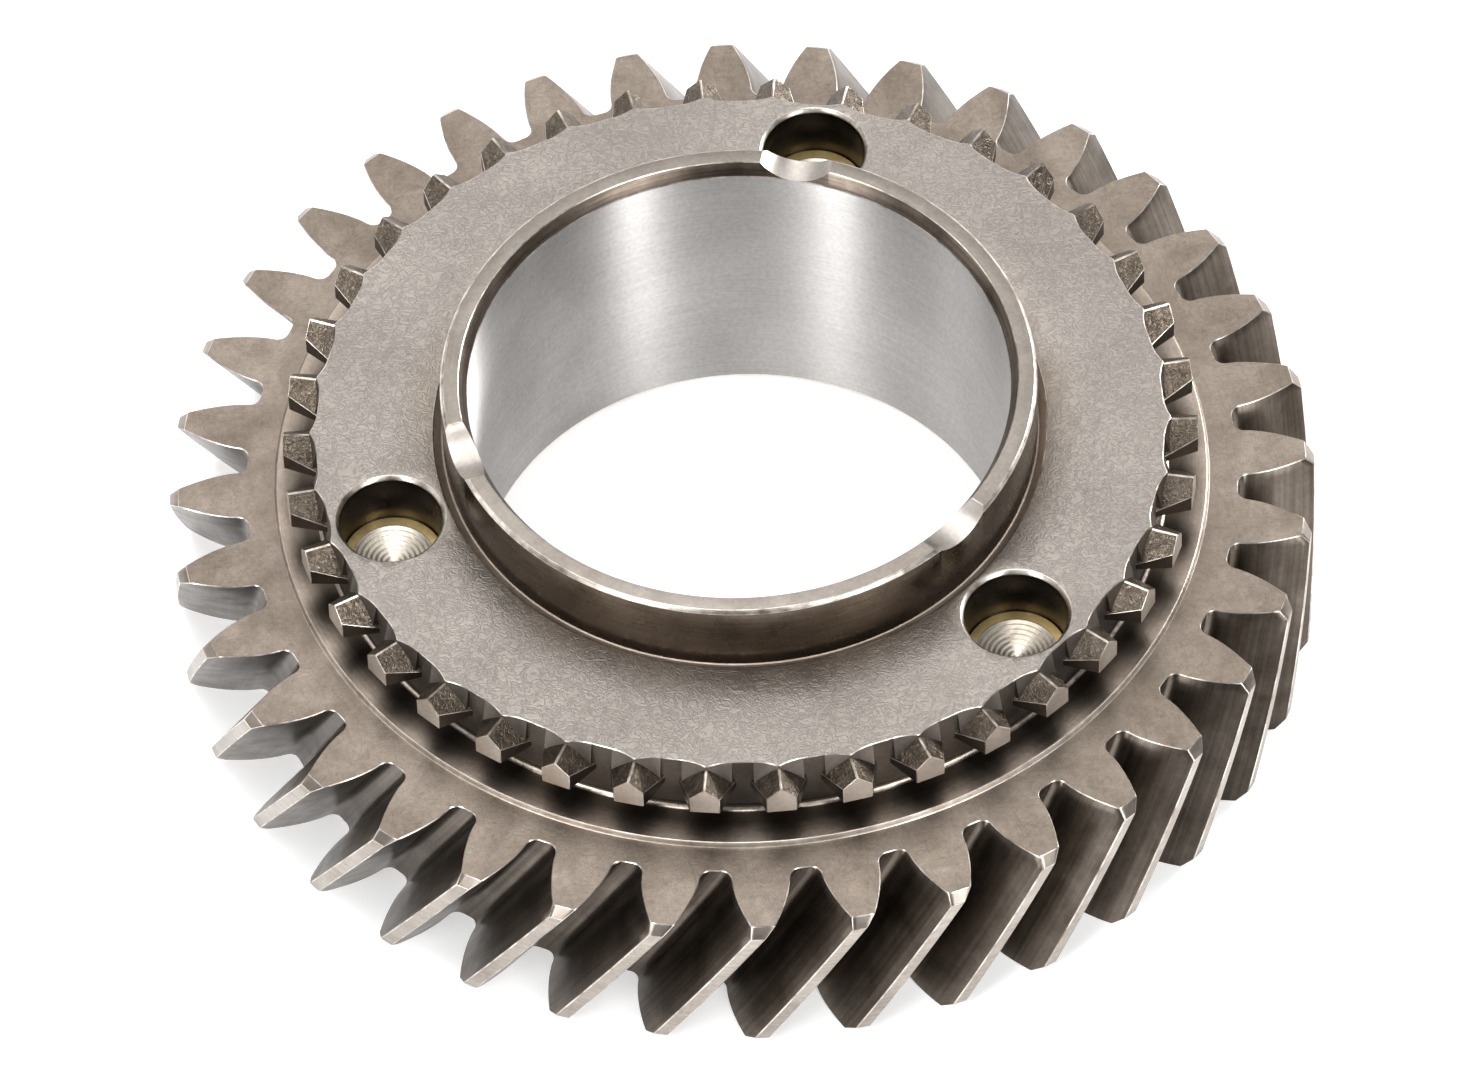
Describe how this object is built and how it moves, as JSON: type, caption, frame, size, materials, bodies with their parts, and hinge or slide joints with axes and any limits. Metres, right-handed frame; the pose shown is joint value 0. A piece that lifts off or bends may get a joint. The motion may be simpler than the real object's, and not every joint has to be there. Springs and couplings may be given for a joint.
{
  "type": "transmission gear",
  "caption": "Helical transmission gear with a ground bore, a raised hub collar and an integral ring of pointed clutch teeth.",
  "frame": {"origin": "on the bore axis, at the level of the flat underside", "axes": "+Z along the bore axis, towards the hub collar; +Y through one of the three blind pockets"},
  "size_m": [0.168, 0.168, 0.049],
  "materials": {
    "steel": "satin case-hardened steel with a ground bore"
  },
  "bodies": {
    "root": {"transmission_gear": "steel"}
  },
  "joints": []
}
